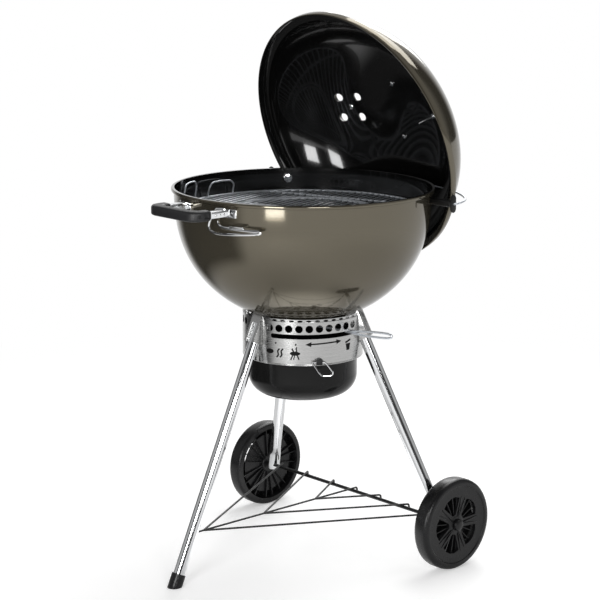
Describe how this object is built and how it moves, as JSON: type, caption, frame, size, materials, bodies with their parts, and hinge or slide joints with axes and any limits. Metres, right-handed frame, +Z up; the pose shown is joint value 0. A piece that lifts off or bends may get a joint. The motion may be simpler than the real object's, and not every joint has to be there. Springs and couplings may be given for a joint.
{
  "type": "kettle charcoal grill",
  "caption": "Kettle charcoal grill on a tripod with two wheels, a wire rack, an ash pot, a hinged cooking grate and its domed lid hung behind the bowl.",
  "frame": {"origin": "on the floor, under the middle of the bounding box", "axes": "+Z up; +X from the single foot towards the axle and the tucked lid; +Y towards the far wheel, away from the control plate's side"},
  "size_m": [0.7516, 0.6722, 1.2022],
  "materials": {
    "shell": "smoke-grey metallic vitreous enamel, glossy",
    "black_enamel": "gloss black vitreous enamel inside the bowl and the lid",
    "pot_enamel": "gloss dark grey enamel",
    "aluminium": "brushed aluminium",
    "chrome": "polished chrome plate",
    "steel_wire": "plated steel wire",
    "black_wire": "satin black paint",
    "iron": "dull aluminised steel",
    "black_plastic": "textured black plastic",
    "grip": "dark grey glass-filled nylon",
    "print_black": "black printed marks on the control plate",
    "dial_white": "white thermometer dial",
    "glass": "clear thermometer glass"
  },
  "bodies": {
    "grill": {"bowl": "shell", "ash_ring": "aluminium", "control_plate": "aluminium", "latch_clip": "black_plastic", "leg_socket_foot": "iron", "leg_socket_near_wheel": "iron", "leg_socket_far_wheel": "iron", "leg_foot": "chrome", "leg_near_wheel": "chrome", "leg_far_wheel": "chrome", "foot_cap": "black_plastic", "axle": "black_wire", "hub_cap_near": "black_plastic", "hub_cap_far": "black_plastic", "bowl_handle_strap_near": "chrome", "bowl_handle_strap_far": "chrome", "lid_holder_arm_near": "black_wire", "lid_holder_arm_far": "black_wire", "lid_holder_bolt_near": "chrome", "lid_holder_bolt_far": "chrome", "bottom_rack": "black_wire", "bowl_handle_grip": "grip", "tool_hook": "chrome", "tool_hook_tab": "chrome", "lid_holder_hoop": "steel_wire", "grate_tab_1": "black_enamel", "grate_tab_2": "black_enamel", "grate_tab_3": "black_enamel", "grate_tab_4": "black_enamel"},
    "lid": {"lid_shell": "shell", "damper_rivet": "chrome", "lid_handle": "grip", "lid_handle_bolt_upper": "chrome", "lid_handle_bolt_lower": "chrome", "lid_heat_shield": "aluminium", "lid_thermometer": "chrome", "thermometer_nut": "chrome"},
    "lid_damper": {"lid_damper": "aluminium"},
    "wheel_near": {"wheel_near": "black_plastic"},
    "wheel_far": {"wheel_far": "black_plastic"},
    "sweeper": {"sweeper": "iron", "vent_lever": "steel_wire"},
    "ash_pot": {"ash_pot": "pot_enamel"},
    "pot_latch": {"pot_latch": "chrome"},
    "cooking_grate": {"cooking_grate": "steel_wire", "grate_loop_1": "steel_wire", "grate_loop_2": "steel_wire", "grate_loop_3": "steel_wire", "grate_loop_4": "steel_wire"},
    "grate_flap_right": {"grate_flap_right": "steel_wire"},
    "grate_flap_left": {"grate_flap_left": "steel_wire"},
    "grate_insert": {"grate_insert": "steel_wire"},
    "charcoal_grate": {"charcoal_grate": "iron"}
  },
  "joints": [
    {"name": "lid_swing", "type": "hinge", "parent": "grill", "child": "lid", "pos_m": [0.13083, 0, 0.784], "axis": [0, -1, 0], "range_deg": [0, 70.75]},
    {"name": "lid_damper_turn", "type": "hinge", "parent": "lid", "child": "lid_damper", "pos_m": [0.29186, 0.145, 0.96872], "axis": [0.9116, 0.2603, 0.3183], "range_deg": [0, 45]},
    {"name": "wheel_near_spin", "type": "hinge", "parent": "grill", "child": "wheel_near", "pos_m": [0.17003, -0.3095, 0.1016], "axis": [0, 1, 0], "continuous": true},
    {"name": "wheel_far_spin", "type": "hinge", "parent": "grill", "child": "wheel_far", "pos_m": [0.17003, 0.3095, 0.1016], "axis": [0, 1, 0], "continuous": true},
    {"name": "sweeper_turn", "type": "hinge", "parent": "grill", "child": "sweeper", "pos_m": [0.00953, 0, 0.521], "axis": [0, 0, -1], "range_deg": [0, 78]},
    {"name": "ash_pot_drop", "type": "slide", "parent": "grill", "child": "ash_pot", "axis": [0, 0, -1], "range_m": [0, 0.12]},
    {"name": "pot_latch_swing", "type": "hinge", "parent": "grill", "child": "pot_latch", "pos_m": [-0.05681, -0.1234, 0.467], "axis": [-0.829, 0.5592, 0], "range_deg": [0, 75]},
    {"name": "cooking_grate_lift", "type": "slide", "parent": "grill", "child": "cooking_grate", "axis": [0, 0, -1], "range_m": [-0.15, 0]},
    {"name": "grate_flap_right_swing", "type": "hinge", "parent": "cooking_grate", "child": "grate_flap_right", "pos_m": [0.17689, 0.05117, 0.778], "axis": [0.2924, -0.9563, 0], "range_deg": [0, 95]},
    {"name": "grate_flap_left_swing", "type": "hinge", "parent": "cooking_grate", "child": "grate_flap_left", "pos_m": [-0.15782, -0.05117, 0.778], "axis": [-0.2924, 0.9563, 0], "range_deg": [0, 95]},
    {"name": "grate_insert_lift", "type": "slide", "parent": "cooking_grate", "child": "grate_insert", "axis": [0, 0, -1], "range_m": [-0.06, 0]},
    {"name": "charcoal_grate_lift", "type": "slide", "parent": "grill", "child": "charcoal_grate", "axis": [0, 0, -1], "range_m": [-0.1, 0]}
  ]
}
